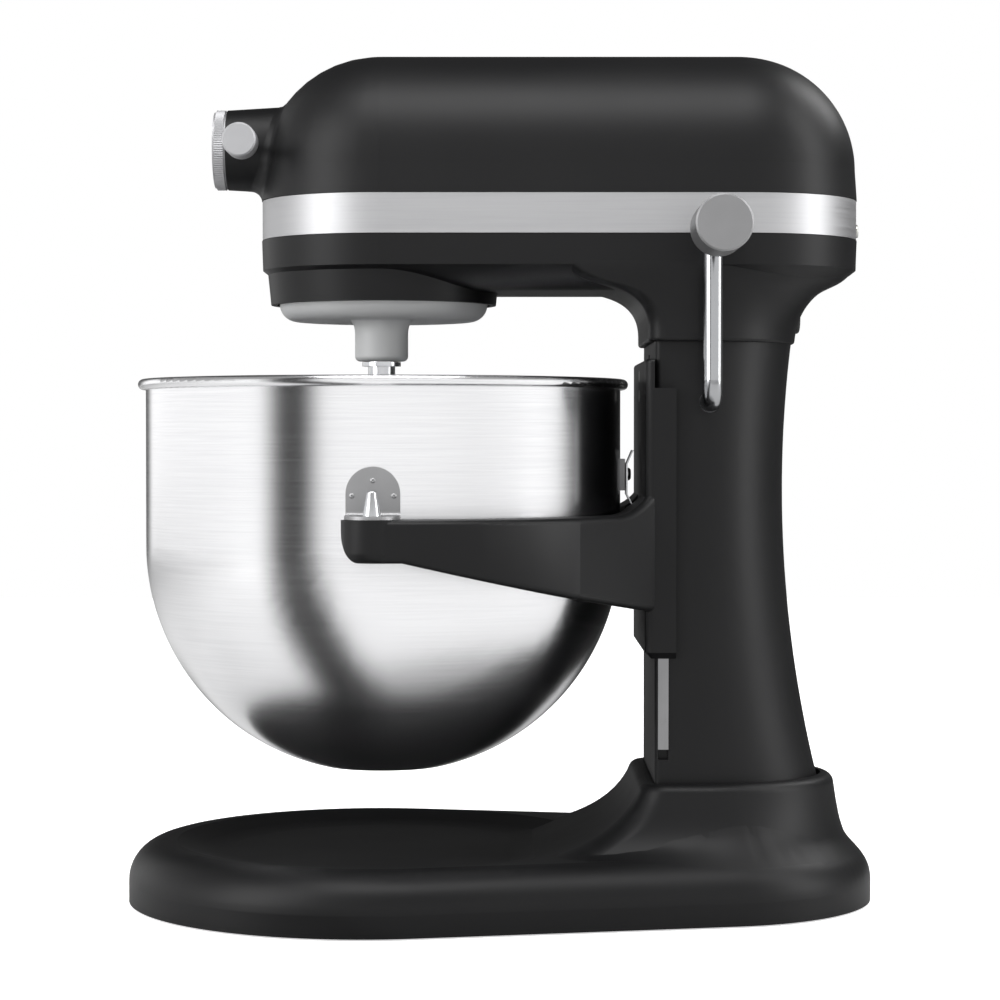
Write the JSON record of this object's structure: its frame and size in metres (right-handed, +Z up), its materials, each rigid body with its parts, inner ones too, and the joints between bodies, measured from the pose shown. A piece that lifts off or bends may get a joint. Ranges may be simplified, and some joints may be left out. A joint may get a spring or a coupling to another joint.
{
  "type": "stand mixer",
  "caption": "Bowl-lift stand mixer with a planetary drive, a steel bowl on a sliding support raised by a side lever, and a front hub for attachments.",
  "frame": {"origin": "on the table under the middle of the mixer's outline", "axes": "+X towards the back of the mixer, away from the attachment hub; -Y the side of the lift lever; +Z up"},
  "size_m": [0.37, 0.287, 0.419],
  "materials": {
    "black_enamel": "matte powder coat over die cast metal",
    "polished_steel": "drawn stainless sheet, brushed in the round",
    "band_aluminium": "brushed strip",
    "hub_chrome": "bright plated rod",
    "cap_satin": "satin anodised, finely knurled",
    "knob_satin": "satin, with a bright turned edge",
    "bracket_steel": "satin pressed sheet, spot welded",
    "planet_grey": "satin die cast",
    "shaft_steel": "turned and ground",
    "gear_steel": "cut and oiled",
    "fastener_zinc": "zinc plated",
    "bush_bronze": "sintered",
    "coil_copper": "lacquered winding",
    "black_plastic": "moulded, polished",
    "dark_rubber": "moulded, matte",
    "board_green": "laminate"
  },
  "bodies": {
    "frame": {"base_casting": "black_enamel", "rubber_feet": "dark_rubber", "base_bolts": "fastener_zinc", "column": "black_enamel", "guide_rails": "shaft_steel", "rail_screws": "fastener_zinc", "lower_housing": "black_enamel", "neck_bolts": "fastener_zinc", "upper_housing": "black_enamel", "trim_band": "band_aluminium", "band_screws": "fastener_zinc", "ring_gear": "gear_steel", "centre_bearing": "shaft_steel", "counter_bushes": "bush_bronze", "gear_bridge": "band_aluminium", "bridge_screws": "fastener_zinc", "hub_bush": "bush_bronze", "lever_bush": "bush_bronze", "motor_stator": "gear_steel", "field_coils": "coil_copper", "motor_bracket_front": "band_aluminium", "motor_bracket_back": "band_aluminium", "motor_bearings": "shaft_steel", "brush_holders": "black_plastic", "speed_board": "board_green", "board_screws": "fastener_zinc", "cord_gland": "dark_rubber"},
    "planetary": {"planetary_carrier": "planet_grey", "shaft_bush": "bush_bronze", "centre_shaft": "shaft_steel", "main_gear": "gear_steel", "centre_bevel": "gear_steel"},
    "agitator": {"agitator_shaft": "shaft_steel", "cross_pin": "shaft_steel", "shaft_washer": "shaft_steel", "planet_pinion": "gear_steel"},
    "countershaft": {"counter_shaft": "shaft_steel", "bevel_wheel": "bush_bronze"},
    "motor_rotor": {"motor_shaft": "shaft_steel", "rotor_core": "gear_steel", "commutator": "coil_copper", "motor_fan": "black_plastic"},
    "hub_drive": {"hub_bevel": "gear_steel", "hub_shaft": "shaft_steel"},
    "cap": {"hub_cap": "cap_satin"},
    "thumb_screw": {"hub_screw": "knob_satin"},
    "lever": {"lift_lever": "hub_chrome", "lift_knob": "knob_satin", "lift_crank": "shaft_steel"},
    "support": {"bowl_support": "black_enamel", "bowl_pins": "shaft_steel", "latch_spring": "shaft_steel", "latch_rivet": "shaft_steel", "lift_plate": "shaft_steel", "lift_screws": "fastener_zinc"},
    "bowl": {"bowl_shell": "polished_steel", "bowl_brackets": "bracket_steel", "latch_plate": "bracket_steel"},
    "speed": {"speed_slide": "shaft_steel", "speed_knob": "knob_satin"}
  },
  "joints": [
    {"name": "planetary_spin", "type": "hinge", "parent": "frame", "child": "planetary", "pos_m": [-0.058, 0, 0.295], "axis": [0, 0, 1], "continuous": true},
    {"name": "agitator_spin", "type": "hinge", "parent": "planetary", "child": "agitator", "pos_m": [-0.058, -0.0255, 0.28], "axis": [0, 0, 1], "continuous": true},
    {"name": "counter_spin", "type": "hinge", "parent": "frame", "child": "countershaft", "pos_m": [-0.01112, 0, 0.325], "axis": [0, 0, 1], "continuous": true},
    {"name": "motor_spin", "type": "hinge", "parent": "frame", "child": "motor_rotor", "pos_m": [0.09, 0, 0.35225], "axis": [1, 0, 0], "continuous": true},
    {"name": "hub_spin", "type": "hinge", "parent": "frame", "child": "hub_drive", "pos_m": [-0.1, 0, 0.37325], "axis": [1, 0, 0], "continuous": true},
    {"name": "bowl_lift", "type": "slide", "parent": "frame", "child": "support", "axis": [0, 0, 1], "range_m": [-0.038, 0]},
    {"name": "lift_lever_turn", "type": "hinge", "parent": "frame", "child": "lever", "pos_m": [0.101, -0.05, 0.2475], "axis": [0, 1, 0], "range_deg": [0, 110]},
    {"name": "bowl_lift_off", "type": "slide", "parent": "support", "child": "bowl", "axis": [0, 0, 1], "range_m": [0, 0.03]},
    {"name": "hub_cap_pull", "type": "slide", "parent": "frame", "child": "cap", "axis": [-1, 0, 0], "range_m": [0, 0.06]},
    {"name": "hub_screw_turn", "type": "hinge", "parent": "frame", "child": "thumb_screw", "pos_m": [-0.1253, -0.03, 0.37325], "axis": [0, 1, 0], "continuous": true},
    {"name": "speed_set", "type": "slide", "parent": "frame", "child": "speed", "axis": [-1, 0, 0], "range_m": [0, 0.05]}
  ],
  "couplings": [
    {"joint": "agitator_spin", "follows": "planetary_spin", "ratio": -2.8889},
    {"joint": "counter_spin", "follows": "planetary_spin", "ratio": -4},
    {"joint": "motor_spin", "follows": "planetary_spin", "ratio": -12},
    {"joint": "hub_spin", "follows": "planetary_spin", "ratio": -1.5},
    {"joint": "lift_lever_turn", "follows": "bowl_lift", "rad_per_m": -50.52}
  ]
}
